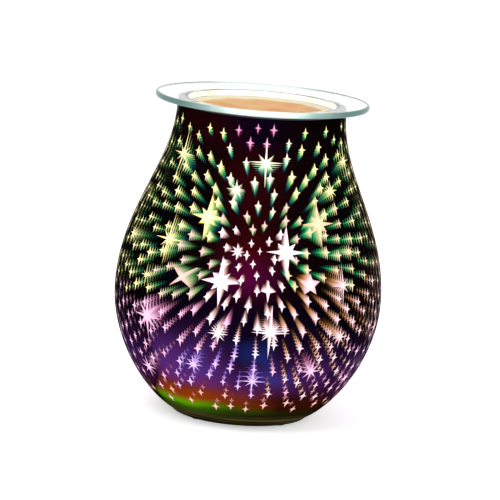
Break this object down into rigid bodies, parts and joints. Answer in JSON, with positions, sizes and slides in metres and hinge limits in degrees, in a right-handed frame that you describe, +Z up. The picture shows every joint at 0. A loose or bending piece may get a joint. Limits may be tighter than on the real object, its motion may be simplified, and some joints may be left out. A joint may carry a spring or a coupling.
{
  "type": "electric fragrance lamp",
  "caption": "Egg-shaped mirrored glass jar with a star pattern on a moulded base, a reflector lamp inside and a loose glass dish of scented wax on its neck.",
  "frame": {"origin": "on the table under the centre of the jar, at the undersides of the foot pads", "axes": "+Z up along the jar's axis, -Y towards the front, +X to the right seen from the front"},
  "size_m": [0.13, 0.13, 0.1563],
  "materials": {
    "mirrored_glass": "dark violet mirror film inside, polished outside, etched star pattern",
    "clear_glass": "polished, faint green edge",
    "amber_wax": "melted, glossy and slightly clear",
    "silicone": "matt, translucent white",
    "black_moulding": "fine satin moulding",
    "black_rubber": "matt",
    "zinc_steel": "zinc plated",
    "ceramic": "unglazed steatite, stands for ceramic",
    "brass": "bright",
    "brown_insulation": "silicone sleeve",
    "blue_insulation": "silicone sleeve",
    "white_plastic": "polyamide",
    "reflector_mirror": "faceted cool-beam coating on glass",
    "quartz": "clear"
  },
  "bodies": {
    "base_and_jar": {"glass_jar": "mirrored_glass", "lower_gasket": "silicone", "upper_gasket": "silicone", "clamp_ring": "black_moulding", "base_housing": "black_moulding", "base_cover": "black_moulding", "cord_inlet": "black_rubber", "foot_pad_1": "black_rubber", "foot_pad_2": "black_rubber", "foot_pad_3": "black_rubber", "foot_pad_4": "black_rubber", "cover_screw_1": "zinc_steel", "cover_screw_2": "zinc_steel", "cover_screw_3": "zinc_steel", "lamp_bracket": "zinc_steel", "bracket_screw_1": "zinc_steel", "bracket_screw_2": "zinc_steel", "lampholder": "ceramic", "holder_screw_1": "zinc_steel", "holder_screw_2": "zinc_steel", "contact_live": "brass", "contact_neutral": "brass", "lead_live": "brown_insulation", "lead_neutral": "blue_insulation", "terminal_block": "white_plastic", "terminal_screw_live": "brass", "terminal_screw_neutral": "brass"},
    "dish": {"glass_dish": "clear_glass", "wax_pool": "amber_wax"},
    "lamp": {"lamp_cap": "ceramic", "lamp_pin_live": "zinc_steel", "lamp_pin_neutral": "zinc_steel", "lamp_reflector": "reflector_mirror", "lamp_capsule": "quartz", "lamp_lens": "clear_glass"}
  },
  "joints": [
    {"name": "dish_lift", "type": "slide", "parent": "base_and_jar", "child": "dish", "axis": [0, 0, 1], "range_m": [0, 0.06]},
    {"name": "lamp_twist", "type": "hinge", "parent": "base_and_jar", "child": "lamp", "pos_m": [0, 0, 0.0421], "axis": [0, 0, 1], "range_deg": [0, 22]}
  ]
}
